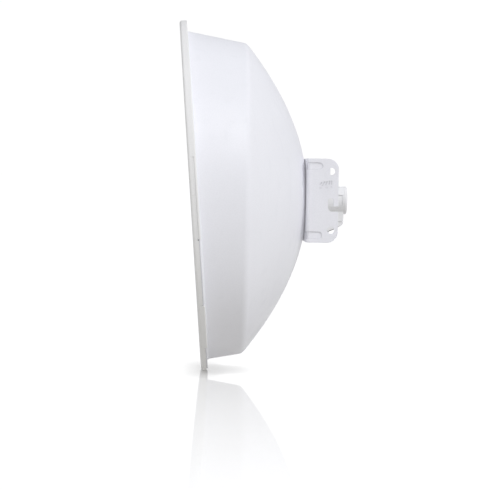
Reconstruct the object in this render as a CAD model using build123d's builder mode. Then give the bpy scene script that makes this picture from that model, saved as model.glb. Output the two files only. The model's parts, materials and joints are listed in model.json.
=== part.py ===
from build123d import *
import os
from math import cos, radians, sin, sqrt

# Outdoor wireless bridge: a 459 mm dish antenna with its isolator shroud, flat radome, rear
# bracket and the radio in its feed. Millimetres. +X runs across the bracket's two flanges,
# -Y is the boresight and +Z is up. The origin is the middle of the pivot bolt's bore.
# Distances called "behind the hub" run along +Y from the shell's flat hub face, and heights
# are measured from the dish axis.

# ------------------------------------------------------------------ driving dimensions
# shell: parabolic reflector and isolator shroud in one piece
focal_length = 123.8
hub_flat_r = 50.0
crease_r = 203.6
rim_wall_r = 215.5
rim_behind_hub = -140.4
rim_height = 3.3
rim_tilt = 4.45
shell_wall = 2.0
crease_fillet = 12.0
rim_fillet = 3.0
flange_r = 227.6
flange_t = 1.4
hub_hole_r = 25.0

# radome
radome_r = 229.5
radome_front = 8.7
radome_t = 2.5
radome_edge_r = 3.0
skirt_wall = 1.6
skirt_gap = 0.1
# (middle, half) angles round the rim of the long hood and the two lower tabs
skirt_lips = [(90.0, 102.6), (-45.75, 10.15), (-134.25, 10.15)]
hook_angles = [5.0, 47.5, 90.0, 132.5, 175.0, -45.75, -134.25]
hook_half_angle = 8.0
lip_notch_angle = 0.5
lip_notch_depth = 1.3
lip_edge_r = 1.2
# shallow finger groove round the hood at each side
groove_angles = [0.0, 180.0]
groove_half_angle = 12.4
groove_span = (1.4, 3.8)
groove_depth = 0.8
hook_t = 0.9
hook_inner_r = 219.8
hook_gap = 0.1
seal_rib_r = (218.5, 221.5)
gasket_t = 1.5

# bracket
bracket_width = 150.0
bracket_depth = 40.4
bracket_half_height = 53.9
sheet_t = 2.5
bend_r = 5.0
flange_corner_r = 14.0
sheet_edge_r = 0.4
bolt_hole_r = 4.5
bolt_hole_spacing = 75.4
bolt_behind_hub = 31.3
bead_height = 44.3
bead_width = 9.0
bead_end = 20.0
bead_depth = 1.2
bead_wrap = 14.0
hang_seat_width = 7.1
hang_slot_front = 27.2
hang_slot_z = (-13.9, -7.2)
hang_seat_top = 3.5
hang_corner_r = 6.0
# (angle, inner radius, outer radius) of each tick of the elevation scale
scale_ticks = [
    (0.0, 11.8, 17.0),
    (11.0, 12.1, 17.2),
    (23.5, 14.1, 19.4),
    (33.0, 15.9, 22.2),
    (41.0, 18.8, 22.8),
]
tick_width = 1.3
tick_depth = 1.0
shell_bolt_offset = 27.6
shell_bolt_r = 3.0

# rear housing, cap and port box
housing_r = 18.1
housing_bore_r = 15.5
housing_end = 52.7
base_flange_r = 25.0
base_flange_t = 3.0
base_gasket_t = 0.8
side_panel_half = 6.9
side_panel_depth = 1.1
screw_circle_r = 21.7
cap_r = 18.4
cap_end = 56.8
port_half_width = 10.8
port_y = (22.5, 52.6)
port_wall = 1.6
port_corner_r = 1.2
port_seam = -27.8
seam_gap = 0.6

# release latch
latch_y = (14.0, 16.4)
latch_offset = 1.6
latch_half_width = 18.4
latch_top = 19.0
latch_bottom = -20.0
latch_floor = -25.0
groove_r = 13.7

# feed
tube_r = 15.2
tube_bore_r = 12.6
tube_end = 46.8
head_start = -104.0
head_r = 31.0
head_end = -138.0
head_wall = 2.0
board_y = (-104.9, 46.0)
board_z = (5.0, 6.6)
board_half_width = 10.5
jack_y = (31.0, 44.6)
jack_half_width = 7.9
jack_bottom = -12.8
reset_y = 27.0

# ------------------------------------------------------------------ derived places
axis_z = -bolt_hole_spacing / 2
hub_y = -bolt_behind_hub
bolt_places = [
    (x, z)
    for x in (-shell_bolt_offset, shell_bolt_offset)
    for z in (-shell_bolt_offset, shell_bolt_offset)
]
screw_angles = [radians(90 + 120 * index) for index in range(3)]
screw_places = [(screw_circle_r * cos(a), screw_circle_r * sin(a)) for a in screw_angles]
hub_plane = Plane(origin=(0, hub_y, axis_z), x_dir=(1, 0, 0), z_dir=(0, -1, 0))
section_plane = Plane(origin=(0, hub_y, axis_z), x_dir=(0, 1, 0), z_dir=(1, 0, 0))
rim_plane = Plane(
    origin=(0, hub_y + rim_behind_hub, axis_z + rim_height),
    x_dir=(1, 0, 0),
    z_dir=(0, -cos(radians(rim_tilt)), -sin(radians(rim_tilt))),
)
dish_axis = Axis((0, hub_y, axis_z), (0, 1, 0))

os.makedirs("parts", exist_ok=True)


# ------------------------------------------------------------------ shared shapes
def at_hub(x, y, z):
    """Location measured across, behind the hub, and above the dish axis."""
    return Location((x, hub_y + y, axis_z + z))


def block(x_span, y_span, z_span, mode=Mode.ADD):
    """Box between low and high limits, measured from the hub centre."""
    sizes = [high - low for low, high in (x_span, y_span, z_span)]
    middle = [(low + high) / 2 for low, high in (x_span, y_span, z_span)]
    with Locations(at_hub(*middle)):
        Box(*sizes, mode=mode)


def drum(radius, y_span, centre=(0, 0), mode=Mode.ADD):
    """Round bar along the boresight, between two distances behind the hub."""
    with Locations(at_hub(centre[0], sum(y_span) / 2, centre[1])):
        Cylinder(radius, y_span[1] - y_span[0], rotation=(90, 0, 0), mode=mode)


def post(radius, z_span, place, mode=Mode.ADD):
    """Upright round bar at (across, behind the hub)."""
    with Locations(at_hub(place[0], place[1], sum(z_span) / 2)):
        Cylinder(radius, z_span[1] - z_span[0], mode=mode)


def cross_hole(radius, y, z, length):
    """Round hole right across the bracket."""
    with Locations(at_hub(0, y, z)):
        Cylinder(radius, length, rotation=(0, 90, 0), mode=Mode.SUBTRACT)


def turned(*points, mode=Mode.ADD):
    """Solid turned about the dish axis from (behind the hub, radius) points."""
    with BuildSketch(section_plane) as profile:
        with BuildLine():
            Polyline(*points, close=True)
        make_face()
    revolve(profile.sketch, axis=dish_axis, mode=mode)


def ring(plane, radii, height, mode=Mode.ADD):
    """Flat ring standing on a plane."""
    with BuildSketch(plane) as outline:
        Circle(radii[1])
        Circle(radii[0], mode=Mode.SUBTRACT)
    extrude(outline.sketch, height, mode=mode)


def rim_sector(offset, radii, middle_angle, half_angle, height, mode=Mode.ADD):
    """Sector of a ring standing on the rim plane, moved forward by offset."""
    start = middle_angle - half_angle
    with BuildSketch(rim_plane.offset(offset)) as outline:
        with BuildLine():
            outer = CenterArc((0, 0), radii[1], start, 2 * half_angle)
            inner = CenterArc((0, 0), radii[0], start, 2 * half_angle)
            Line(outer @ 0, inner @ 0)
            Line(outer @ 1, inner @ 1)
        make_face()
    extrude(outline.sketch, height, mode=mode)


def save(builder, name):
    """Label a finished piece and write it as its own STEP file."""
    builder.part.label = name
    export_step(builder.part, f"parts/{name}.step")


# ------------------------------------------------------------------ reflector and shroud
def bowl_y(radius):
    """Distance behind the hub of the reflector's rear skin."""
    return (hub_flat_r**2 - radius**2) / (4 * focal_length)


def shell_form(inset, fillet_r, reach):
    """Closed form under the rear skin, moved inwards by inset and run forward by reach."""
    edge_r = crease_r - inset
    edge_y = bowl_y(edge_r) - inset
    slope = -hub_flat_r / (2 * focal_length)
    handle_r = (hub_flat_r + edge_r) / 2
    handle_y = slope * (edge_r - hub_flat_r) / 2 - inset
    with BuildPart() as form:
        with BuildSketch(section_plane):
            with BuildLine():
                Line((edge_y, 0), (-inset, 0))
                Line((-inset, 0), (-inset, hub_flat_r))
                Bezier((-inset, hub_flat_r), (handle_y, handle_r), (edge_y, edge_r))
                Line((edge_y, edge_r), (edge_y, 0))
            make_face()
        revolve(axis=dish_axis)
        with BuildSketch(hub_plane.offset(-edge_y)) as crease:
            Circle(edge_r)
        with BuildSketch(rim_plane) as rim:
            Circle(rim_wall_r - inset)
        loft([crease.sketch, rim.sketch], ruled=True)
        seam = form.edges().filter_by(GeomType.CIRCLE)
        seam = seam.filter_by(lambda edge: abs(edge.center().Y - hub_y - edge_y) < 0.5)
        fillet(seam, fillet_r)
        with BuildSketch(rim_plane) as mouth:
            Circle(rim_wall_r - inset)
        extrude(mouth.sketch, reach)
    return form


outer_form = shell_form(0, crease_fillet, flange_t)
inner_form = shell_form(shell_wall, crease_fillet - shell_wall, 2 * flange_t)

with BuildPart() as reflector_shroud:
    add(outer_form.part)
    with BuildSketch(rim_plane) as flange_outline:
        Circle(flange_r)
    extrude(flange_outline.sketch, flange_t)
    root = reflector_shroud.edges().filter_by(GeomType.CIRCLE)
    root = root.filter_by(lambda edge: abs(edge.radius - rim_wall_r) < 0.01)
    fillet(root, rim_fillet)
    add(inner_form.part, mode=Mode.SUBTRACT)
    drum(hub_hole_r, (-5, 5), mode=Mode.SUBTRACT)
    for place in bolt_places:
        drum(shell_bolt_r + 0.3, (-5, 5), place, mode=Mode.SUBTRACT)
save(reflector_shroud, "reflector_shroud")

# ------------------------------------------------------------------ radome
skirt_start = flange_t + skirt_gap
disc_start = radome_front - radome_t
hook_start = -hook_gap - hook_t

with BuildPart() as radome_cover:
    with BuildSketch(rim_plane.offset(disc_start)) as disc:
        Circle(radome_r)
    extrude(disc.sketch, radome_t)
    skirt_height = disc_start - skirt_start
    ring(rim_plane.offset(skirt_start), (radome_r - skirt_wall, radome_r), skirt_height)
    rib_start = flange_t + gasket_t
    ring(rim_plane.offset(rib_start), seal_rib_r, disc_start - rib_start)
    forward = Axis(rim_plane.origin, rim_plane.z_dir)
    front_edge = radome_cover.edges().filter_by(GeomType.CIRCLE).sort_by(forward)[-1]
    fillet(front_edge, radome_edge_r)
    for middle, half in skirt_lips:
        lip_radii = (radome_r - skirt_wall, radome_r)
        rim_sector(hook_start, lip_radii, middle, half, skirt_start - hook_start)
    lip_rims = radome_cover.edges().filter_by(GeomType.CIRCLE)
    lip_rims = lip_rims.filter_by(lambda edge: abs(edge.radius - radome_r) < 0.01)
    fillet(lip_rims.group_by(forward)[0], lip_edge_r)
    for middle, half in skirt_lips:
        for side in (-1, 1):
            rim_sector(
                skirt_start - 1,
                (radome_r - skirt_wall - 1, radome_r + 1),
                middle + side * (half + lip_notch_angle / 2),
                lip_notch_angle / 2,
                lip_notch_depth + 1,
                mode=Mode.SUBTRACT,
            )
    for middle in groove_angles:
        rim_sector(
            groove_span[0],
            (radome_r - groove_depth, radome_r + 1),
            middle,
            groove_half_angle,
            groove_span[1] - groove_span[0],
            mode=Mode.SUBTRACT,
        )
    for middle in hook_angles:
        hook_radii = (hook_inner_r, radome_r - skirt_wall)
        rim_sector(hook_start, hook_radii, middle, hook_half_angle, hook_t)
save(radome_cover, "radome_cover")

with BuildPart() as radome_gasket:
    ring(rim_plane.offset(flange_t), (217.6, 224.5), gasket_t)
save(radome_gasket, "radome_gasket")


# ------------------------------------------------------------------ dish bracket
def channel_block(inset):
    """Filled outline of the U channel, shrunk by inset on its three closed sides."""
    half = bracket_width / 2 - inset
    low_y = hub_y + inset
    high_y = hub_y + bracket_depth
    with BuildPart() as filled:
        with BuildSketch(Plane.XY.offset(axis_z - bracket_half_height)):
            with Locations((0, (low_y + high_y) / 2)):
                Rectangle(2 * half, high_y - low_y)
        extrude(amount=2 * bracket_half_height)
        bends = filled.edges().filter_by(Axis.Z).group_by(Axis.Y)[0]
        fillet(bends, bend_r - inset)
    return filled


def bead_layer(near_inset, far_inset):
    """Layers of the channel's skin inside the four bead outlines."""
    outer = channel_block(near_inset)
    inner = channel_block(far_inset)
    with BuildPart() as layer:
        for side in (-1, 1):
            for level in (-bead_height, bead_height):
                outer_x = side * (bracket_width / 2 + 1)
                inner_x = side * (bracket_width / 2 - bead_wrap)
                x_span = sorted((outer_x, inner_x))
                straight_end = bead_end - bead_width / 2
                z_span = (level - bead_width / 2, level + bead_width / 2)
                block(x_span, (-1, straight_end), z_span)
                with Locations(at_hub(sum(x_span) / 2, straight_end, level)):
                    Cylinder(bead_width / 2, x_span[1] - x_span[0], rotation=(0, 90, 0))
        add(outer.part, mode=Mode.INTERSECT)
        add(inner.part, mode=Mode.SUBTRACT)
    return layer


bead_ribs = bead_layer(sheet_t - 0.4, sheet_t + bead_depth)
bead_grooves = bead_layer(0, bead_depth)

with BuildPart() as dish_bracket:
    add(channel_block(0).part)
    add(channel_block(sheet_t).part, mode=Mode.SUBTRACT)
    corners = dish_bracket.edges().filter_by(Axis.X)
    corners = corners.filter_by(lambda edge: abs(edge.length - sheet_t) < 0.01)
    fillet(corners.group_by(Axis.Y)[-1], flange_corner_r)
    # one rear edge is enough: the rounding runs on along the whole smooth outline
    outline = dish_bracket.edges().filter_by(Axis.Z).group_by(Axis.Y)[-1]
    fillet(outline.sort_by(Axis.X)[0], sheet_edge_r)
    add(bead_ribs.part)
    add(bead_grooves.part, mode=Mode.SUBTRACT)
    for level in (0, bolt_hole_spacing):
        cross_hole(bolt_hole_r, bolt_behind_hub, level - bolt_hole_spacing / 2, 200)
    with BuildSketch(Plane.YZ.offset(-100)) as hang_slot:
        slot_low = axis_z + hang_slot_z[0]
        slot_high = axis_z + hang_slot_z[1]
        slot_front = hub_y + hang_slot_front
        slot_rear = hub_y + bracket_depth + 1
        seat_rear = slot_front + hang_seat_width
        seat_top = axis_z + hang_seat_top
        with BuildLine():
            FilletPolyline(
                (slot_rear, slot_low),
                (slot_front, slot_low),
                (slot_front, seat_top - hang_seat_width / 2),
                radius=hang_corner_r,
            )
            ThreePointArc(
                (slot_front, seat_top - hang_seat_width / 2),
                ((slot_front + seat_rear) / 2, seat_top),
                (seat_rear, seat_top - hang_seat_width / 2),
            )
            Polyline(
                (seat_rear, seat_top - hang_seat_width / 2),
                (seat_rear, slot_high),
                (slot_rear, slot_high),
                (slot_rear, slot_low),
            )
        make_face()
    extrude(hang_slot.sketch, 200, mode=Mode.SUBTRACT)
    # web openings: feed tube, housing screws, shell bolts
    drum(tube_r + 0.4, (-1, 5), mode=Mode.SUBTRACT)
    for place in screw_places:
        drum(1.5, (-1, 5), place, mode=Mode.SUBTRACT)
    for place in bolt_places:
        drum(shell_bolt_r + 0.3, (-1, 5), place, mode=Mode.SUBTRACT)
    # elevation scale engraved round the pivot hole on both outer faces
    for side in (-1, 1):
        for angle, inner_r, outer_r in scale_ticks:
            middle_r = (inner_r + outer_r) / 2
            y = -middle_r * sin(radians(angle))
            z = -middle_r * cos(radians(angle))
            with Locations(Location((side * bracket_width / 2, y, z), (-angle, 0, 0))):
                Box(2 * tick_depth, tick_width, outer_r - inner_r, mode=Mode.SUBTRACT)
save(dish_bracket, "dish_bracket")

head_y = (-shell_wall - 3.2, -shell_wall)
washer_y = (sheet_t, sheet_t + 1.6)
nut_y = (washer_y[1], washer_y[1] + 5.0)

with BuildPart() as bracket_bolts:
    for place in bolt_places:
        drum(5.5, head_y, place)
        drum(shell_bolt_r, (head_y[1], nut_y[1] + 2.5), place)
    heads = bracket_bolts.edges().filter_by(GeomType.CIRCLE).group_by(Axis.Y)[0]
    fillet(heads, 1.8)
save(bracket_bolts, "bracket_bolts")

with BuildPart() as bracket_washers:
    for place in bolt_places:
        drum(6.2, washer_y, place)
        drum(shell_bolt_r, washer_y, place, mode=Mode.SUBTRACT)
save(bracket_washers, "bracket_washers")

with BuildPart() as bracket_nuts:
    for x, z in bolt_places:
        with BuildSketch(hub_plane.offset(-nut_y[1])) as hexagon:
            with Locations((x, z)):
                RegularPolygon(5.0, 6, major_radius=False)
                Circle(shell_bolt_r, mode=Mode.SUBTRACT)
        extrude(hexagon.sketch, nut_y[1] - nut_y[0])
save(bracket_nuts, "bracket_nuts")

# ------------------------------------------------------------------ rear housing
base_y = (sheet_t + base_gasket_t, sheet_t + base_gasket_t + base_flange_t)
latch_box_y = (10.5, 20.0)
slot_y = (latch_y[0] - 0.2, latch_y[1] + 0.2)
port_inner_y = (port_y[0] + port_wall, port_y[1] - port_wall)
port_inner_x = port_half_width - port_wall

with BuildPart() as side_panels:
    panel_y = (32.0, housing_end - 2)
    drum(housing_r + 1, panel_y)
    drum(housing_r - side_panel_depth, panel_y, mode=Mode.SUBTRACT)
    block((-30, 30), panel_y, (-side_panel_half, side_panel_half), Mode.INTERSECT)

with BuildPart() as rear_housing:
    drum(housing_r, (base_y[0], housing_end))
    drum(base_flange_r, base_y)
    block((-21, 21), latch_box_y, (latch_floor - 2, 20.4))
    upright = rear_housing.edges().filter_by(Axis.Y)
    fillet(upright, 3.0)
    block((-port_half_width, port_half_width), port_y, (port_seam, 0))
    add(side_panels.part, mode=Mode.SUBTRACT)
    box_corners = rear_housing.edges().filter_by(Axis.Z)
    box_corners = box_corners.filter_by(lambda edge: abs(abs(edge.center().X) - port_half_width) < 0.01)
    fillet(box_corners, port_corner_r)
    drum(housing_bore_r, (base_y[0] - 1, housing_end + 1), mode=Mode.SUBTRACT)
    block((-port_inner_x, port_inner_x), port_inner_y, (port_seam - 1, -8), Mode.SUBTRACT)
    block((-18.8, 18.8), slot_y, (latch_floor, 25), Mode.SUBTRACT)
    for place in screw_places:
        drum(1.7, (base_y[0] - 1, base_y[1] + 1), place, mode=Mode.SUBTRACT)
save(rear_housing, "rear_housing")

with BuildPart() as housing_gasket:
    drum(base_flange_r - 0.5, (sheet_t, base_y[0]))
    drum(housing_bore_r + 1, (sheet_t - 1, base_y[0] + 1), mode=Mode.SUBTRACT)
    for place in screw_places:
        drum(1.7, (sheet_t - 1, base_y[0] + 1), place, mode=Mode.SUBTRACT)
save(housing_gasket, "housing_gasket")

with BuildPart() as housing_screws:
    for x, z in screw_places:
        drum(2.8, (base_y[1], base_y[1] + 2.0), (x, z))
        drum(1.5, (-1.0, base_y[1]), (x, z))
        recess_y = (base_y[1] + 1.1, base_y[1] + 3)
        block((x - 1.8, x + 1.8), recess_y, (z - 0.35, z + 0.35), Mode.SUBTRACT)
        block((x - 0.35, x + 0.35), recess_y, (z - 1.8, z + 1.8), Mode.SUBTRACT)
save(housing_screws, "housing_screws")

seal_y = 49.8
with BuildPart() as rear_cap:
    drum(cap_r, (housing_end, cap_end))
    rims = rear_cap.edges().filter_by(GeomType.CIRCLE).group_by(Axis.Y)
    fillet(rims[-1], 2.0)
    fillet(rims[0], 0.6)
    drum(housing_bore_r - 0.1, (47.6, housing_end))
    groove_y = (seal_y - 1, seal_y + 1)
    turned(
        (groove_y[0], 13.9),
        (groove_y[1], 13.9),
        (groove_y[1], 16),
        (groove_y[0], 16),
        mode=Mode.SUBTRACT,
    )
    drum(11.5, (47.0, housing_end + 2), mode=Mode.SUBTRACT)
save(rear_cap, "rear_cap")

with BuildPart() as cap_seal:
    with BuildSketch(section_plane) as cord:
        with Locations((seal_y, 14.7)):
            Circle(0.79)
    revolve(cord.sketch, axis=dish_axis)
save(cap_seal, "cap_seal")

# ------------------------------------------------------------------ release latch
with BuildPart() as release_latch:
    block((-latch_half_width, latch_half_width), latch_y, (latch_bottom, latch_top))
    fillet(release_latch.edges().filter_by(Axis.Y), 3.0)
    drum(housing_bore_r, (latch_y[0] - 1, latch_y[1] + 1), (0, latch_offset), mode=Mode.SUBTRACT)
    block((-7, 7), latch_y, (latch_top - 2, 23.4))
    block((-8, 8), (11.2, 19.2), (22.6, 26.0))
    fillet(release_latch.edges().filter_by(Axis.Y).group_by(Axis.Z)[-1], 2.0)
save(release_latch, "release_latch")

spring_r = 0.95
wire_r = 0.22
with BuildPart() as release_springs:
    for x in (-9.0, 9.0):
        foot = (x, hub_y + sum(latch_y) / 2, axis_z + latch_floor + wire_r)
        turn_height = latch_bottom - latch_floor - 2 * wire_r
        with BuildLine() as coil:
            Helix(pitch=turn_height / 4, height=turn_height, radius=spring_r, center=foot)
        start = coil.line @ 0
        with BuildSketch(Plane(origin=start, z_dir=coil.line % 0)) as wire:
            Circle(wire_r)
        sweep(wire.sketch, path=coil.line)
save(release_springs, "release_springs")

# ------------------------------------------------------------------ port cover and grommet
cover_top = port_seam - seam_gap
cover_outline = [
    (port_y[0], cover_top),
    (port_y[1], cover_top),
    (port_y[1], port_seam - 1.8),
    (51.0, port_seam - 4.7),
    (45.6, port_seam - 7.9),
    (31.9, port_seam - 13.2),
    (port_y[0], port_seam - 17.2),
]
exit_y = 36.0
lower, upper = cover_outline[5], cover_outline[4]
exit_share = (exit_y - lower[0]) / (upper[0] - lower[0])
exit_z = lower[1] + exit_share * (upper[1] - lower[1])
slope_y = upper[0] - lower[0]
slope_z = upper[1] - lower[1]
slope_length = sqrt(slope_y**2 + slope_z**2)
exit_normal = Vector(0, slope_z, -slope_y) / slope_length
exit_plane = Plane(
    origin=(0, hub_y + exit_y, axis_z + exit_z),
    x_dir=(1, 0, 0),
    z_dir=(exit_normal.X, exit_normal.Y, exit_normal.Z),
)
exit_hole_r = 4.2

with BuildPart() as port_cover:
    with BuildSketch(section_plane.offset(-port_half_width)) as outline:
        with BuildLine():
            Polyline(*cover_outline, close=True)
        make_face()
    extrude(outline.sketch, 2 * port_half_width)
    # every edge but those of the top face
    fillet(port_cover.edges().filter_by(lambda edge: edge.center().Z < axis_z + cover_top - 0.2), port_corner_r)
    with BuildSketch(section_plane.offset(-port_inner_x)) as cavity:
        with BuildLine():
            Polyline(*cover_outline, close=True)
        make_face()
        offset(amount=-port_wall)
        with Locations((sum(port_y) / 2, cover_top)):
            Rectangle(port_inner_y[1] - port_inner_y[0], 2 * port_wall + 0.8)
    extrude(cavity.sketch, 2 * port_inner_x, mode=Mode.SUBTRACT)
    lip_x = port_inner_x - 0.3
    lip_y = (port_inner_y[0] + 0.3, port_inner_y[1] - 0.3)
    lip_z = (cover_top - 2.0, port_seam + 4.5)
    block((-lip_x, lip_x), lip_y, lip_z)
    block(
        (-lip_x + 1.2, lip_x - 1.2),
        (lip_y[0] + 1.2, lip_y[1] - 1.2),
        (lip_z[0] - 0.1, lip_z[1] + 1),
        Mode.SUBTRACT,
    )
    with BuildSketch(exit_plane.offset(-6)) as exit_hole:
        Circle(exit_hole_r)
    extrude(exit_hole.sketch, 12, mode=Mode.SUBTRACT)
save(port_cover, "port_cover")

with BuildPart() as port_grommet:
    ring(exit_plane.offset(-port_wall - 1.0), (1.6, exit_hole_r + 1.4), 1.0)
    ring(exit_plane.offset(-port_wall), (1.6, exit_hole_r), port_wall)
    ring(exit_plane, (1.6, exit_hole_r + 1.2), 0.9)
save(port_grommet, "port_grommet")

# ------------------------------------------------------------------ feed tube and head
hub_seal_t = 1.0
feed_flange_front = -shell_wall - hub_seal_t - 3.0
with BuildPart() as feed_tube:
    turned(
        (tube_end, tube_bore_r),
        (tube_end, tube_r),
        (latch_y[1] + 0.4, tube_r),
        (latch_y[1] + 0.4, groove_r),
        (latch_y[0] - 0.4, groove_r),
        (latch_y[0] - 0.4, tube_r),
        (feed_flange_front + 3.0, tube_r),
        (feed_flange_front + 3.0, 30.5),
        (feed_flange_front, 30.5),
        (feed_flange_front, 24.0),
        (-34.0, tube_r),
        (head_start, tube_r),
        (head_start, head_r - head_wall - 0.2),
        (head_start - 3.0, head_r - head_wall - 0.2),
        (head_start - 3.0, tube_bore_r),
    )
    for side in (-1, 1):
        low, high = sorted((side * 9.2, side * (tube_bore_r + 0.6)))
        block((low, high), (-100, 26), (board_z[0] - 1.6, board_z[0]))
    block((-8.2, 8.2), (29.6, tube_end + 1), (-20, -7.5), Mode.SUBTRACT)
    post(1.6, (-20, -8), (0, reset_y), mode=Mode.SUBTRACT)
save(feed_tube, "feed_tube")

with BuildPart() as hub_seal:
    ring(hub_plane.offset(shell_wall), (26.0, 30.0), hub_seal_t)
save(hub_seal, "hub_seal")

head_bore_r = head_r - head_wall
with BuildPart() as feed_head:
    turned(
        (head_start, head_bore_r),
        (head_start, head_r),
        (head_end + 3, head_r),
        (head_end, head_r - 3),
        (head_end, 0),
        (head_end + head_wall, 0),
        (head_end + head_wall, head_bore_r),
    )
save(feed_head, "feed_head")

spacer_y = (-131.5, head_start - 3.0)
with BuildPart() as feed_spacers:
    for index in range(3):
        angle = radians(90 + 120 * index)
        drum(2.2, spacer_y, (22 * cos(angle), 22 * sin(angle)))
save(feed_spacers, "feed_spacers")

with BuildPart() as sub_reflector:
    turned((-131.5, 0), (-131.5, 26), (-133.0, 26), (-133.0, 8), (-134.5, 4), (-134.5, 0))
save(sub_reflector, "sub_reflector")

radiator_y = (-119.4, -117.8)
with BuildPart() as radiator_board:
    drum(17.5, radiator_y)
save(radiator_board, "radiator_board")

with BuildPart() as dipole_arms:
    for x_span, z_span in (
        ((-13, -1.5), (-1.5, 1.5)),
        ((1.5, 13), (-1.5, 1.5)),
        ((-1.5, 1.5), (-13, -1.5)),
        ((-1.5, 1.5), (1.5, 13)),
    ):
        block(x_span, (radiator_y[0] - 0.3, radiator_y[0]), z_span)
save(dipole_arms, "dipole_arms")

with BuildPart() as rf_pins:
    for x in (-4, 4):
        drum(0.65, (radiator_y[1], board_y[0]), (x, sum(board_z) / 2))
save(rf_pins, "rf_pins")

# ------------------------------------------------------------------ radio inside the tube
with BuildPart() as main_board:
    block((-board_half_width, board_half_width), board_y, board_z)
save(main_board, "main_board")

chip_t = 1.2
with BuildPart() as radio_chips:
    for y, half in ((-70, 5), (-45, 7), (-18, 6)):
        block((-half, half), (y - half, y + half), (board_z[1], board_z[1] + chip_t))
save(radio_chips, "radio_chips")

pad_z = (board_z[1] + chip_t, board_z[1] + chip_t + 0.8)
with BuildPart() as thermal_pad:
    block((-7, 7), (-76, -11), pad_z)
save(thermal_pad, "thermal_pad")

with BuildPart() as heat_spreader:
    drum(tube_bore_r - 0.2, (-85, 15))
    block((-20, 20), (-90, 20), (-20, pad_z[1]), Mode.SUBTRACT)
save(heat_spreader, "heat_spreader")

with BuildPart() as shield_can:
    block((-8.8, 8.8), (-85, -30), (2.0, board_z[0]))
    block((-8.5, 8.5), (-84.7, -30.3), (2.3, board_z[0] + 1), Mode.SUBTRACT)
save(shield_can, "shield_can")

with BuildPart() as lan_transformer:
    block((-6.5, 6.5), (4, 20), (-1.0, board_z[0]))
save(lan_transformer, "lan_transformer")

with BuildPart() as capacitors:
    for y in (-20, -11, -2):
        post(3.2, (-2.5, board_z[0]), (0, y))
    fillet(capacitors.edges().filter_by(GeomType.CIRCLE).group_by(Axis.Z)[0], 0.6)
save(capacitors, "capacitors")

jack_cavity_y = (33.4, 41.6)
with BuildPart() as ethernet_jack:
    block((-jack_half_width, jack_half_width), jack_y, (jack_bottom, board_z[0]))
    block((-6, 6), jack_cavity_y, (jack_bottom - 1, 1.5), Mode.SUBTRACT)
    block((-3, 3), (jack_cavity_y[1] - 0.5, 43.4), (jack_bottom - 1, -2), Mode.SUBTRACT)
save(ethernet_jack, "ethernet_jack")

with BuildPart() as jack_contacts:
    for index in range(8):
        x = (index - 3.5) * 1.02
        block((x - 0.2, x + 0.2), (jack_cavity_y[0], jack_cavity_y[0] + 0.7), (-9, 1.5))
save(jack_contacts, "jack_contacts")

with BuildPart() as reset_switch:
    block((-2.2, 2.2), (reset_y - 2.2, reset_y + 2.2), (2.4, board_z[0]))
save(reset_switch, "reset_switch")

with BuildPart() as reset_button:
    post(1.3, (-16.6, 1.6), (0, reset_y))
    post(2.3, (-11.4, -10.2), (0, reset_y))
save(reset_button, "reset_button")
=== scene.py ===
import json
from math import cos, radians, sin

import bpy
from mathutils import Matrix, Vector


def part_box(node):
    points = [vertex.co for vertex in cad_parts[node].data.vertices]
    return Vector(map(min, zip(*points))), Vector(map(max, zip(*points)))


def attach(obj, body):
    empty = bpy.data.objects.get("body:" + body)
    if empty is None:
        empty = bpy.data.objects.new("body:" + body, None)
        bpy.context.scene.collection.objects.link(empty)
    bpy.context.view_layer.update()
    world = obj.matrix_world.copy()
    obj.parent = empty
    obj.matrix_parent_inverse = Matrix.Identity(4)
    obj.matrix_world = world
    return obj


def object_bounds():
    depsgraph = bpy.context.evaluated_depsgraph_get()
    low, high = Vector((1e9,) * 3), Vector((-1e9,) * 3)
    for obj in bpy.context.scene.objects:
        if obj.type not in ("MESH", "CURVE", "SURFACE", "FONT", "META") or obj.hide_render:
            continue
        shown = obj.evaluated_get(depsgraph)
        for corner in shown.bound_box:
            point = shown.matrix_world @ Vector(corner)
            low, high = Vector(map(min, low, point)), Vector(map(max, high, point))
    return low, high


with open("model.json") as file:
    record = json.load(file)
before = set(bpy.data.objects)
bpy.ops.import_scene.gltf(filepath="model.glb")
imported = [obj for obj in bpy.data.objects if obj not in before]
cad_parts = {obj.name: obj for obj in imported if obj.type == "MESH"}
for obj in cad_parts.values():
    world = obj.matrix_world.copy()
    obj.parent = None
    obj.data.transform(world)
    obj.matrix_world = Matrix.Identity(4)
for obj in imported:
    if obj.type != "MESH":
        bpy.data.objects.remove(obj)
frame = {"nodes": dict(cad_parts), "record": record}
cad_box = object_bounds()

# Outdoor wireless bridge, in metres, in the CAD frame: +X across the bracket's flanges, -Y the
# boresight, +Z up. The CAD nodes keep their shapes. This script gives them their finishes, adds
# the raised numbers of the elevation scale, and sets up the studio.

MM = 0.001

# ------------------------------------------------------------------ elevation scale, sizes
# Each number with its angle from straight down, in degrees, and its distance from the pivot
# axis. The numbers stand by the engraved ticks on the outer faces of the bracket's flanges.
SCALE_NUMBERS = {"0": (0.0, 20.0 * MM), "10": (17.0, 21.6 * MM), "20": (33.0, 25.6 * MM)}
NUMBER_HEIGHT = 3.4 * MM
NUMBER_RELIEF = 0.22 * MM
NUMBER_WEIGHT = 0.08 * MM
NUMBER_EDGE = 0.02 * MM
NUMBER_SMOOTHNESS = 4

# ------------------------------------------------------------------ finishes, looks
# The values of a noise lie mostly inside NOISE_SPAN, and its features are half a cycle wide.
NOISE_SPAN = (0.3, 0.7)
NOISE_FEATURE = 0.5
FULL = (0.0, 1.0)
EVEN = (1, 1, 1)

# edge wear: cosine between the eased and the plain normal, on an open face and at a corner
EDGE_TURN = (0.985, 0.80)
EDGE_SAMPLES = 4

# painted shade in grooves, from the ambient occlusion node: how open a point is, on an open face
# and deep in a groove
GROOVE_SHADE_REACH = 2.2 * MM
GROOVE_SHADE_OPENNESS = (0.86, 0.40)
GROOVE_SHADE_MOST = 0.5
GROOVE_SHADE_SAMPLES = 6

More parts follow.
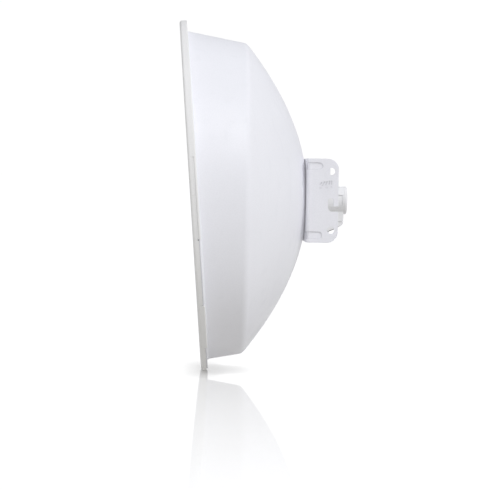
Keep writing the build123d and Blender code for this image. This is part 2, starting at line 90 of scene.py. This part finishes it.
PAINT_SPECULAR = 0.42
PAINT_ROUGHNESS = (0.40, 0.52)
PAINT_EDGE = 0.5 * MM
PAINT_CLOUD_SHADE = 0.98
# share of the paint colour in its painted shade in grooves
PAINT_GROOVE_SHADE = 0.62
PEEL_SIZE = 1.1 * MM
PEEL_DEPTH = 0.02 * MM

PLASTIC_SPECULAR = 0.45
PLASTIC_ROUGHNESS = (0.42, 0.56)
PLASTIC_EDGE = 0.4 * MM
PLASTIC_CLOUD_SHADE = 0.97
# share of the plastic colour in its painted shade in grooves
PLASTIC_GROOVE_SHADE = 0.7
SPARK_SIZE = 0.35 * MM
SPARK_DEPTH = 0.02 * MM

METAL_EDGE = 0.2 * MM
METAL_EDGE_GAIN = 1.2
METAL_LINE_SIZE = 0.3 * MM
METAL_LINE_DEPTH = 0.01 * MM
TOOL_PITCH = 0.12 * MM
TOOL_WAVE = 20
TOOL_WAVER = 0.2
TOOL_DEPTH = 0.012 * MM
SPANGLE_SIZE = 4 * MM
ROLLED_DEPTH = 0.008 * MM

RUBBER_SPECULAR = 0.35
RUBBER_SHEEN = 0.08
# colour of the painted shade in the pores
RUBBER_PORE_SHADE = (0.01, 0.01, 0.011)
PORE_DEPTH = 0.05 * MM

BOARD_COAT = 0.25
BOARD_COAT_ROUGHNESS = 0.12
BOARD_RELIEF = 0.035 * MM
BOARD_MASK = ((0.012, 0.085, 0.035), (0.018, 0.12, 0.05))
BOARD_TRACK = (0.035, 0.20, 0.075)
BOARD_PAD = (0.62, 0.62, 0.60)
TRACK_STEP = 3.1 * MM
TRACK_PITCH = 1.05 * MM
TRACK_WIDTH = 0.14 * MM
TRACK_SOFTNESS = 0.2
TRACK_STAGGER = 0.37
PAD_STEP = 2.3 * MM
PAD_RIM = (0.13, 0.10)

TIN = ((0.60, 0.61, 0.62), (0.72, 0.73, 0.74))
TIN_ROUGHNESS = (0.24, 0.36)

# colour, and the tone where the finish is worn or dusty
PAINTS = {
    "shell_paint": ((0.832, 0.835, 0.868), (0.60, 0.61, 0.62)),
    "bracket_paint": ((0.852, 0.852, 0.885), (0.56, 0.57, 0.59)),
}
PLASTICS = {
    "radome_plastic": ((0.845, 0.843, 0.832), (0.64, 0.63, 0.60)),
    "housing_plastic": ((0.845, 0.846, 0.848), (0.62, 0.62, 0.61)),
    "feed_plastic": ((0.78, 0.78, 0.785), (0.58, 0.58, 0.57)),
    "latch_plastic": ((0.50, 0.51, 0.535), (0.36, 0.36, 0.37)),
    "nylon": ((0.68, 0.66, 0.57), (0.50, 0.47, 0.38)),
    "jack_plastic": ((0.012, 0.012, 0.014), (0.05, 0.05, 0.05)),
    "chip_black": ((0.016, 0.016, 0.018), (0.07, 0.07, 0.07)),
}
# colour, tarnish and roughness
METALS = {
    "fastener_steel": ((0.56, 0.57, 0.60), (0.42, 0.42, 0.40), (0.26, 0.46)),
    "spring_steel": ((0.42, 0.42, 0.44), (0.28, 0.26, 0.24), (0.22, 0.40)),
    "gold_plate": ((0.86, 0.62, 0.24), (0.66, 0.42, 0.16), (0.18, 0.34)),
}
TURNED_METALS = {
    "bare_aluminium": ((0.72, 0.73, 0.75), (0.55, 0.55, 0.56), (0.22, 0.42)),
}
# colour, bloom, roughness and size of the pores
RUBBERS = {
    "seal_foam": ((0.40, 0.40, 0.41), (0.50, 0.50, 0.50), (0.75, 0.95), 0.35 * MM),
    "seal_rubber": ((0.022, 0.022, 0.024), (0.08, 0.08, 0.08), (0.50, 0.75), 0.6 * MM),
    "thermal_silicone": ((0.17, 0.26, 0.40), (0.32, 0.40, 0.50), (0.55, 0.8), 0.5 * MM),
}

# ------------------------------------------------------------------ studio, sizes and lights
# camera, at the photograph's viewing angle
CAMERA_PLACE = Vector((2.5, -0.1790, -0.0057))
CAMERA_YAW = radians(1.642)
CAMERA_PITCH = radians(2.13)
CAMERA_ROLL = radians(0.951)
CAMERA_LENS = 139.4
CAMERA_CLIP = (0.05, 200.0)
SENSOR_WIDTH = 36.0

KEY_TOWARDS = Vector((0.591, 0.397, 0.703))
KEY_STRENGTH = 1.27
KEY_SPREAD = radians(26)
KEY_COLOUR = (0.995, 1.0, 1.04)
# direction that each fill shines from, and its strength
FILLS = {
    "fill_right": ((1, 0, 0), 0.34),
    "fill_left": ((-1, 0, 0), 0.26),
    "fill_front": ((0, -1, 0), 0.14),
    "fill_rear": ((0, 1, 0), 0.52),
    "fill_above": ((0, 0, 1), 0.30),
    "fill_below": ((0, 0, -1), 0.14),
}

FLOOR_SIZE = 160.0
FLOOR_WHITE = 0.6
FLOOR_LIFT = 0.68
# painted contact shadow: the floor's glow dims where the object closes in over it, by the ambient
# occlusion node
CONTACT_SHADOW_REACH = 28 * MM
CONTACT_SHADOW_DEPTH = 1.5
CONTACT_SHADOW_SAMPLES = 8
# the floor mirrors most under the object, and less further out, in an oval along Y
FLOOR_MIRROR = 0.55
MIRROR_REACH = 1.12
MIRROR_OVAL = 0.4

# colour of the surround: straight down, at shares of the way up, and straight up
WORLD_BELOW = (0.425, 0.412, 0.395)
WORLD_BETWEEN = ((0.35, (0.50, 0.494, 0.487)), (0.5, (0.515, 0.517, 0.526)))
WORLD_ABOVE = (0.51, 0.517, 0.54)
WORLD_SEEN = (1.02, 1.02, 1.02)


# ------------------------------------------------------------------ node helpers
def add_node(tree, kind, inputs=(), **settings):
    """Node with its settings, and its inputs given as numbers, colours or sockets to link."""
    made = tree.nodes.new(kind)
    for name, value in settings.items():
        setattr(made, name, value)
    for name, value in dict(inputs).items():
        if isinstance(value, bpy.types.NodeSocket):
            tree.links.new(value, made.inputs[name])
        else:
            made.inputs[name].default_value = value
    return made


def object_place(tree):
    """Position on the piece, in metres."""
    return add_node(tree, "ShaderNodeTexCoord").outputs["Object"]


def noise(tree, size, detail, stretch=EVEN):
    """Soft noise from 0 to 1 whose features are about size metres wide, before the stretch."""
    inputs = {"Vector": object_place(tree), "Scale": stretch}
    mapping = add_node(tree, "ShaderNodeMapping", inputs)
    inputs = {"Vector": mapping.outputs[0], "Scale": NOISE_FEATURE / size, "Detail": detail}
    return add_node(tree, "ShaderNodeTexNoise", inputs).outputs[0]


def cells(tree, size, output="Distance"):
    """Voronoi cells about size metres wide."""
    inputs = {"Vector": object_place(tree), "Scale": 1 / size}
    return add_node(tree, "ShaderNodeTexVoronoi", inputs).outputs[output]


def remap(tree, value, from_span, to_span):
    """A value moved from one span to another, and held inside it."""
    inputs = {
        "Value": value,
        "From Min": from_span[0],
        "From Max": from_span[1],
        "To Min": to_span[0],
        "To Max": to_span[1],
    }
    return add_node(tree, "ShaderNodeMapRange", inputs).outputs[0]


def patches(tree, size, detail, span, most, stretch=EVEN):
    """Noise in patches: 0 where it is below span, rising to most where it is above."""
    return remap(tree, noise(tree, size, detail, stretch), span, (0.0, most))


def maths(tree, operation, first, second):
    """One operation on two values."""
    return add_node(tree, "ShaderNodeMath", {0: first, 1: second}, operation=operation).outputs[0]


def mix_colour(tree, share, first, second):
    """Colour between two."""
    colours = [c if isinstance(c, bpy.types.NodeSocket) else (*c, 1.0) for c in (first, second)]
    inputs = {0: share, 6: colours[0], 7: colours[1]}
    return add_node(tree, "ShaderNodeMix", inputs, data_type="RGBA").outputs[2]


def shaded(colour, share):
    """That share of a colour, and no more than full light."""
    return [min(1.0, channel * share) for channel in colour]


def rounded_normal(tree, radius):
    """Normal of the surface with its edges eased by radius."""
    return add_node(tree, "ShaderNodeBevel", {"Radius": radius}, samples=EDGE_SAMPLES).outputs[0]


def edge_share(tree, radius):
    """1 along edges and corners, falling to 0 on open faces."""
    plain = add_node(tree, "ShaderNodeNewGeometry").outputs["Normal"]
    inputs = {0: rounded_normal(tree, radius), 1: plain}
    flatness = add_node(tree, "ShaderNodeVectorMath", inputs, operation="DOT_PRODUCT")
    return remap(tree, flatness.outputs["Value"], EDGE_TURN, FULL)


def groove_shade_share(tree):
    """Share of painted shade: most in grooves and recesses narrower than the reach set above,
    falling to 0 on open faces.
    """
    inputs = {"Distance": GROOVE_SHADE_REACH}
    near = add_node(tree, "ShaderNodeAmbientOcclusion", inputs, samples=GROOVE_SHADE_SAMPLES)
    return remap(tree, near.outputs["AO"], GROOVE_SHADE_OPENNESS, (0.0, GROOVE_SHADE_MOST))


def bump(tree, height, depth, normal=None):
    """Normal of the surface with a relief of that depth in metres."""
    inputs = {"Height": height, "Distance": depth, "Strength": 1.0}
    if normal is not None:
        inputs["Normal"] = normal
    return add_node(tree, "ShaderNodeBump", inputs).outputs[0]


def new_finish(name, metallic=0.0, specular=0.5, coat=0.0, coat_roughness=0.1, sheen=0.0):
    """Material with one Principled shader, whose even values sit on its own sockets."""
    material = bpy.data.materials.new(name)
    material.use_nodes = True
    shader = material.node_tree.nodes["Principled BSDF"]
    shader.inputs["Metallic"].default_value = metallic
    shader.inputs["Specular IOR Level"].default_value = specular
    shader.inputs["Coat Weight"].default_value = coat
    shader.inputs["Coat Roughness"].default_value = coat_roughness
    shader.inputs["Sheen Weight"].default_value = sheen
    return material, material.node_tree, shader


def wire(tree, shader, colour, roughness, normal):
    """Feeds the shader what varies over the surface."""
    tree.links.new(colour, shader.inputs["Base Color"])
    tree.links.new(roughness, shader.inputs["Roughness"])
    tree.links.new(normal, shader.inputs["Normal"])


# ------------------------------------------------------------------ finishes
def powder_coat(name, colour, worn):
    """Satin powder coat on sheet metal: orange peel, cloudy thickness, thin edges, faint dust."""
    material, tree, shader = new_finish(name, specular=PAINT_SPECULAR)
    clouds = patches(tree, 45 * MM, 3, NOISE_SPAN, 1.0)
    fine = patches(tree, 0.7 * MM, 2, (0.35, 0.65), 1.0)
    dust = patches(tree, 6 * MM, 6, (0.56, 0.74), 0.30, stretch=(1, 1, 0.35))
    tone = mix_colour(tree, clouds, colour, shaded(colour, PAINT_CLOUD_SHADE))
    tone = mix_colour(tree, maths(tree, "MULTIPLY", fine, 0.10), tone, worn)
    tone = mix_colour(tree, maths(tree, "MULTIPLY", dust, 0.18), tone, worn)
    chips = remap(tree, noise(tree, 3 * MM, 4), (0.4, 0.6), (0.15, 0.6))
    edges = maths(tree, "MULTIPLY", edge_share(tree, PAINT_EDGE), chips)
    tone = mix_colour(tree, edges, tone, worn)
    # painted shade: the colour darkens in grooves and recesses
    tone = mix_colour(tree, groove_shade_share(tree), tone, shaded(colour, PAINT_GROOVE_SHADE))
    gloss = remap(tree, noise(tree, 14 * MM, 4), NOISE_SPAN, PAINT_ROUGHNESS)
    gloss = maths(tree, "ADD", gloss, dust)
    peel = noise(tree, PEEL_SIZE, 2)
    relief = bump(tree, peel, PEEL_DEPTH, rounded_normal(tree, PAINT_EDGE))
    wire(tree, shader, tone, gloss, relief)
    return material


def moulded_plastic(name, colour, worn):
    """Moulded plastic: fine spark texture, slow tone changes, handled edges, light scuffs."""
    material, tree, shader = new_finish(name, specular=PLASTIC_SPECULAR)
    clouds = patches(tree, 30 * MM, 2, NOISE_SPAN, 1.0)
    specks = patches(tree, 0.5 * MM, 1, (0.4, 0.6), 0.12)
    scuffs = patches(tree, 3.5 * MM, 7, (0.64, 0.72), 0.25, stretch=(0.25, 1, 1))
    tone = mix_colour(tree, clouds, colour, shaded(colour, PLASTIC_CLOUD_SHADE))
    tone = mix_colour(tree, specks, tone, worn)
    tone = mix_colour(tree, scuffs, tone, worn)
    edges = maths(tree, "MULTIPLY", edge_share(tree, PLASTIC_EDGE), 0.35)
    tone = mix_colour(tree, edges, tone, worn)
    # painted shade: the colour darkens in grooves and recesses
    tone = mix_colour(tree, groove_shade_share(tree), tone, shaded(colour, PLASTIC_GROOVE_SHADE))
    gloss = remap(tree, noise(tree, 9 * MM, 5), NOISE_SPAN, PLASTIC_ROUGHNESS)
    gloss = maths(tree, "ADD", gloss, scuffs)
    scratched = maths(tree, "MULTIPLY", scuffs, -1.0)
    grain = maths(tree, "ADD", noise(tree, SPARK_SIZE, 3), scratched)
    relief = bump(tree, grain, SPARK_DEPTH, rounded_normal(tree, PLASTIC_EDGE))
    wire(tree, shader, tone, gloss, relief)
    return material


def metal(name, colour, tarnish, roughness):
    """Metal with tumbling marks, blotches of tarnish and brighter edges."""
    material, tree, shader = new_finish(name, metallic=1.0)
    blotches = patches(tree, 4 * MM, 5, (0.4, 0.68), 0.75)
    tone = mix_colour(tree, blotches, colour, tarnish)
    edges = maths(tree, "MULTIPLY", edge_share(tree, METAL_EDGE), 0.6)
    tone = mix_colour(tree, edges, tone, shaded(colour, METAL_EDGE_GAIN))
    lines = noise(tree, METAL_LINE_SIZE, 3)
    gloss = remap(tree, lines, NOISE_SPAN, roughness)
    relief = bump(tree, lines, METAL_LINE_DEPTH, rounded_normal(tree, METAL_EDGE))
    wire(tree, shader, tone, gloss, relief)
    return material


def turned_metal(name, colour, tarnish, roughness):
    """Bare metal faced on a lathe, with tool rings about the dish axis."""
    material, tree, shader = new_finish(name, metallic=1.0)
    inputs = {
        "Vector": object_place(tree),
        "Scale": 1 / (TOOL_WAVE * TOOL_PITCH),
        "Distortion": TOOL_WAVER,
    }
    shape = {"wave_type": "RINGS", "rings_direction": "Y"}
    rings = add_node(tree, "ShaderNodeTexWave", inputs, **shape).outputs[1]
    oxide = patches(tree, 7 * MM, 6, (0.42, 0.7), 0.6)
    tone = mix_colour(tree, oxide, colour, tarnish)
    gloss = remap(tree, maths(tree, "ADD", rings, oxide), (0.0, 1.4), roughness)
    wire(tree, shader, tone, gloss, bump(tree, rings, TOOL_DEPTH))
    return material


def spangled_plate(name):
    """Tin plate: soft spangle, rolling marks and finger haze."""
    material, tree, shader = new_finish(name, metallic=1.0)
    colours = cells(tree, SPANGLE_SIZE, "Color")
    spangle = add_node(tree, "ShaderNodeSeparateColor", {0: colours}).outputs[0]
    tone = mix_colour(tree, spangle, *TIN)
    haze = patches(tree, 9 * MM, 5, (0.45, 0.7), 0.18)
    gloss = maths(tree, "ADD", remap(tree, spangle, FULL, TIN_ROUGHNESS), haze)
    rolled = noise(tree, 0.25 * MM, 2, stretch=(1, 0.05, 1))
    wire(tree, shader, tone, gloss, bump(tree, rolled, ROLLED_DEPTH))
    return material


def circuit_board(name):
    """Green solder mask over copper tracks, with rows of tinned pads."""
    coat = {"coat": BOARD_COAT, "coat_roughness": BOARD_COAT_ROUGHNESS}
    material, tree, shader = new_finish(name, **coat)
    inputs = {
        "Vector": object_place(tree),
        "Scale": 1.0,
        "Brick Width": TRACK_STEP,
        "Row Height": TRACK_PITCH,
        "Mortar Size": TRACK_WIDTH,
        "Mortar Smooth": TRACK_SOFTNESS,
    }
    grid = add_node(tree, "ShaderNodeTexBrick", inputs, offset=TRACK_STAGGER).outputs[1]
    tracks = maths(tree, "MULTIPLY", grid, patches(tree, 6 * MM, 1, (0.46, 0.54), 1.0))
    pads = remap(tree, cells(tree, PAD_STEP), PAD_RIM, FULL)
    tone = mix_colour(tree, noise(tree, 8 * MM, 3), *BOARD_MASK)
    tone = mix_colour(tree, tracks, tone, BOARD_TRACK)
    tone = mix_colour(tree, pads, tone, BOARD_PAD)
    mottled = maths(tree, "ADD", tracks, noise(tree, 1 * MM, 2))
    gloss = remap(tree, mottled, (0.3, 1.5), (0.28, 0.5))
    height = maths(tree, "ADD", tracks, pads)
    wire(tree, shader, tone, gloss, bump(tree, height, BOARD_RELIEF))
    return material


def rubber(name, colour, bloom, roughness, grain_size):
    """Matt elastomer or foam with a dusty bloom, a fine grain and painted shade in its pores."""
    material, tree, shader = new_finish(name, specular=RUBBER_SPECULAR, sheen=RUBBER_SHEEN)
    haze = patches(tree, 5 * MM, 6, (0.45, 0.75), 0.7)
    tone = mix_colour(tree, haze, colour, bloom)
    pores = cells(tree, grain_size)
    # painted shade: the pits of the pore relief are darkened
    tone = mix_colour(tree, remap(tree, pores, (0.0, 0.6), (0.35, 0.0)), tone, RUBBER_PORE_SHADE)
    gloss = remap(tree, noise(tree, 2 * MM, 3), NOISE_SPAN, roughness)
    wire(tree, shader, tone, gloss, bump(tree, pores, PORE_DEPTH))
    return material


LOOKS = (
    (powder_coat, PAINTS),
    (moulded_plastic, PLASTICS),
    (metal, METALS),
    (turned_metal, TURNED_METALS),
    (spangled_plate, {"tin_plate": ()}),
    (circuit_board, {"circuit_board": ()}),
    (rubber, RUBBERS),
)
finishes = {
    name: make_finish(name, *look)
    for make_finish, looks in LOOKS
    for name, look in looks.items()
}

for subpart in frame["record"]["subparts"]:
    node = frame["nodes"][subpart["node"]]
    node.data.materials.clear()
    node.data.materials.append(finishes[subpart["material_slot"]])


# ------------------------------------------------------------------ elevation scale numbers
def scale_number(text, angle, radius, side):
    """Raised number by a tick, on the outer face of the flange of that side."""
    curve = bpy.data.curves.new("number", "FONT")
    curve.body = text
    curve.size = NUMBER_HEIGHT
    curve.align_x = "CENTER"
    curve.align_y = "CENTER"
    curve.extrude = NUMBER_RELIEF
    curve.offset = NUMBER_WEIGHT
    curve.bevel_depth = NUMBER_EDGE
    curve.resolution_u = NUMBER_SMOOTHNESS
    name = f"scale_number_{text}_{'right' if side > 0 else 'left'}"
    outline = bpy.data.objects.new(name, curve)
    bpy.context.scene.collection.objects.link(outline)
    across = Vector((0, side, 0))
    outward = Vector((side, 0, 0))
    facing = Matrix((across, Vector((0, 0, 1)), outward)).transposed().to_4x4()
    face_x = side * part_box("dish_bracket")[1].x
    place = Vector((face_x, -radius * sin(angle), -radius * cos(angle)))
    outline.matrix_world = Matrix.Translation(place) @ facing
    bpy.context.view_layer.update()
    evaluated = outline.evaluated_get(bpy.context.evaluated_depsgraph_get())
    mesh = bpy.data.meshes.new_from_object(evaluated)
    mesh.transform(outline.matrix_world)
    bpy.data.objects.remove(outline)
    solid = bpy.data.objects.new(name, mesh)
    bpy.context.scene.collection.objects.link(solid)
    solid.data.materials.append(finishes["bracket_paint"])
    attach(solid, "antenna")


for side in (-1, 1):
    for text, (angle, radius) in SCALE_NUMBERS.items():
        scale_number(text, radians(angle), radius, side)


# ------------------------------------------------------------------ studio
def white_floor():
    """Pale floor at the rim's lowest point, with a painted contact shadow under the object. Its
    gloss fades away from the object.
    """
    level = cad_box[0].z
    mesh = bpy.data.meshes.new("floor")
    half = FLOOR_SIZE / 2
    outline = ((-half, -half), (half, -half), (half, half), (-half, half))
    mesh.from_pydata([(x, y, level) for x, y in outline], [], [(0, 1, 2, 3)])
    floor = bpy.data.objects.new("floor", mesh)
    bpy.context.scene.collection.objects.link(floor)
    material = bpy.data.materials.new("floor_white")
    material.use_nodes = True
    tree = material.node_tree
    tree.nodes.clear()
    paper = add_node(tree, "ShaderNodeBsdfDiffuse", {"Color": (*(FLOOR_WHITE,) * 3, 1)})
    # painted contact shadow: the glow is dimmed where the object is close
    inputs = {"Distance": CONTACT_SHADOW_REACH}
    near = add_node(tree, "ShaderNodeAmbientOcclusion", inputs, samples=CONTACT_SHADOW_SAMPLES)
    shade = maths(tree, "POWER", near.outputs["AO"], CONTACT_SHADOW_DEPTH)
    strength = maths(tree, "MULTIPLY", shade, FLOOR_LIFT)
    lift = add_node(tree, "ShaderNodeEmission", {"Color": (1, 1, 1, 1), "Strength": strength})
    base = add_node(tree, "ShaderNodeAddShader", {0: paper.outputs[0], 1: lift.outputs[0]})
    mirror = add_node(tree, "ShaderNodeBsdfGlossy", {"Color": (1, 1, 1, 1), "Roughness": 0.0})
    middle_y = (cad_box[0].y + cad_box[1].y) / 2
    inputs = {
        "Vector": object_place(tree),
        "Location": (0, -MIRROR_OVAL * middle_y, -level),
        "Scale": (1, MIRROR_OVAL, 1),
    }
    oval = add_node(tree, "ShaderNodeMapping", inputs).outputs[0]
    away = add_node(tree, "ShaderNodeVectorMath", {0: oval}, operation="LENGTH")
    share = remap(tree, away.outputs["Value"], (0.0, MIRROR_REACH), (FLOOR_MIRROR, 0.0))
    inputs = {0: share, 1: base.outputs[0], 2: mirror.outputs[0]}
    surface = add_node(tree, "ShaderNodeMixShader", inputs)
    add_node(tree, "ShaderNodeOutputMaterial", {"Surface": surface.outputs[0]})
    mesh.materials.append(material)
    floor.visible_diffuse = False
    return floor


def soft_world():
    """Surround that lights the object softly, and is white where it is seen or mirrored."""
    world = bpy.data.worlds.new("studio")
    bpy.context.scene.world = world
    world.use_nodes = True
    tree = world.node_tree
    tree.nodes.clear()
    direction = add_node(tree, "ShaderNodeTexCoord").outputs["Generated"]
    height = add_node(tree, "ShaderNodeSeparateXYZ", {0: direction}).outputs["Z"]
    ramp = add_node(tree, "ShaderNodeValToRGB", {0: remap(tree, height, (-1, 1), (0, 1))})
    stops = ramp.color_ramp.elements
    stops[0].color = (*WORLD_BELOW, 1)
    stops[1].color = (*WORLD_ABOVE, 1)
    for position, colour in WORLD_BETWEEN:
        stops.new(position).color = (*colour, 1)
    path = add_node(tree, "ShaderNodeLightPath")
    seen = maths(tree, "MAXIMUM", path.outputs["Is Camera Ray"], path.outputs["Is Singular Ray"])
    light = mix_colour(tree, seen, ramp.outputs[0], WORLD_SEEN)
    background = add_node(tree, "ShaderNodeBackground", {"Color": light, "Strength": 1.0})
    add_node(tree, "ShaderNodeOutputWorld", {"Surface": background.outputs[0]})


def sun(name, towards, strength):
    """Sun that shines from that direction."""
    light = bpy.data.lights.new(name, "SUN")
    light.energy = strength
    made = bpy.data.objects.new(name, light)
    bpy.context.scene.collection.objects.link(made)
    made.rotation_mode = "QUATERNION"
    made.rotation_quaternion = (-Vector(towards)).to_track_quat("-Z", "Y")
    return made


def key_light(floor):
    """Broad soft key above the camera's side, towards the rear, that leaves the floor alone."""
    key = sun("key", KEY_TOWARDS, KEY_STRENGTH)
    key.data.angle = KEY_SPREAD
    key.data.color = KEY_COLOUR
    unlit = bpy.data.collections.new("unlit_by_key")
    unlit.objects.link(floor)
    key.light_linking.receiver_collection = unlit
    unlit.collection_objects[0].light_linking.link_state = "EXCLUDE"


def fill_lights():
    """Weak fills from every side that cast no shadow, as from a white tent close by."""
    for name, (towards, strength) in FILLS.items():
        fill = sun(name, towards, strength)
        fill.data.use_shadow = False
        fill.visible_glossy = False


def camera():
    """Camera at the photograph's viewing angle."""
    data = bpy.data.cameras.new("camera")
    data.sensor_width = SENSOR_WIDTH
    data.lens = CAMERA_LENS
    data.clip_start, data.clip_end = CAMERA_CLIP
    made = bpy.data.objects.new("camera", data)
    bpy.context.scene.collection.objects.link(made)
    ahead = Vector((
        -cos(CAMERA_PITCH) * cos(CAMERA_YAW),
        cos(CAMERA_PITCH) * sin(CAMERA_YAW),
        -sin(CAMERA_PITCH),
    ))
    level_right = ahead.cross(Vector((0, 0, 1))).normalized()
    level_up = level_right.cross(ahead)
    right = cos(CAMERA_ROLL) * level_right + sin(CAMERA_ROLL) * level_up
    up = -sin(CAMERA_ROLL) * level_right + cos(CAMERA_ROLL) * level_up
    turn = Matrix((right, up, -ahead)).transposed().to_4x4()
    made.matrix_world = Matrix.Translation(CAMERA_PLACE) @ turn
    bpy.context.scene.camera = made


floor = white_floor()
soft_world()
key_light(floor)
fill_lights()
camera()
bpy.context.scene.view_settings.view_transform = "Standard"
